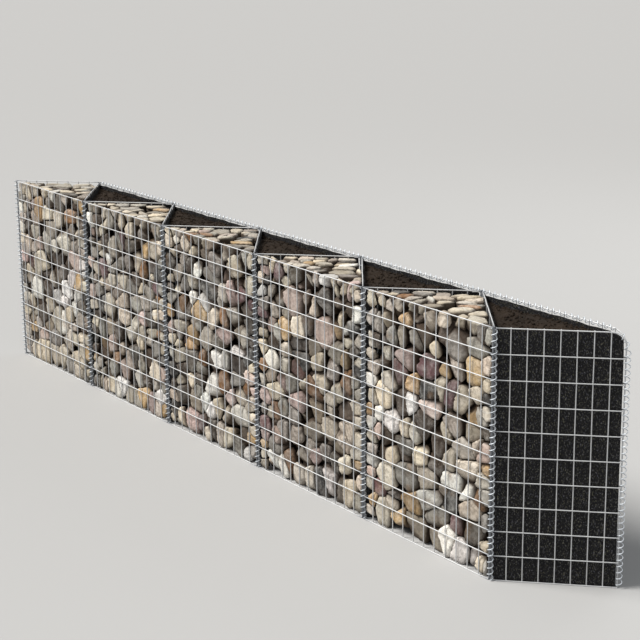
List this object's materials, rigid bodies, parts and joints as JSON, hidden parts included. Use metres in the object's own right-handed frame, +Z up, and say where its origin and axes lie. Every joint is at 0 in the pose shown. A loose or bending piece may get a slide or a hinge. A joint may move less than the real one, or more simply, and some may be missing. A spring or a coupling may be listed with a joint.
{
  "type": "gabion planter wall",
  "caption": "Free-standing zig-zag gabion wall of welded mesh and cobbles, with triangular felt-lined soil pockets behind it.",
  "frame": {"origin": "on the ground, under the middle of the wall's bounding box", "axes": "+X along the wall towards its right-hand end, -Y out of the stone front, +Z up"},
  "size_m": [3.988, 0.3458, 1.0131],
  "materials": {
    "mesh": "galvanised wire, dulled",
    "spiral": "galvanised spiral wire, dulled",
    "stones": "mixed rounded river cobbles, dry",
    "felt": "black needled felt with pale flecks",
    "soil": "dark brown planting soil, matte"
  },
  "bodies": {
    "root": {"front_mesh_1": "mesh", "front_mesh_2": "mesh", "front_mesh_3": "mesh", "front_mesh_4": "mesh", "front_mesh_5": "mesh", "back_mesh_1": "mesh", "back_mesh_2": "mesh", "back_mesh_3": "mesh", "back_mesh_4": "mesh", "back_mesh_5": "mesh", "divider_mesh_1": "mesh", "divider_mesh_2": "mesh", "divider_mesh_3": "mesh", "divider_mesh_4": "mesh", "divider_mesh_5": "mesh", "divider_mesh_6": "mesh", "divider_mesh_7": "mesh", "divider_mesh_8": "mesh", "divider_mesh_9": "mesh", "end_mesh_left": "mesh", "end_mesh_right": "mesh", "front_spiral_1": "spiral", "front_spiral_2": "spiral", "front_spiral_3": "spiral", "front_spiral_4": "spiral", "front_spiral_5": "spiral", "front_spiral_6": "spiral", "back_spiral_1": "spiral", "back_spiral_2": "spiral", "back_spiral_3": "spiral", "back_spiral_4": "spiral", "back_spiral_5": "spiral", "rail_spiral": "spiral", "corner_spiral": "spiral", "stone_fill_1": "stones", "stone_fill_2": "stones", "stone_fill_3": "stones", "stone_fill_4": "stones", "stone_fill_5": "stones", "felt_liner_1": "felt", "felt_liner_2": "felt", "felt_liner_3": "felt", "felt_liner_4": "felt", "felt_liner_5": "felt", "soil_fill_1": "soil", "soil_fill_2": "soil", "soil_fill_3": "soil", "soil_fill_4": "soil", "soil_fill_5": "soil"}
  },
  "joints": []
}
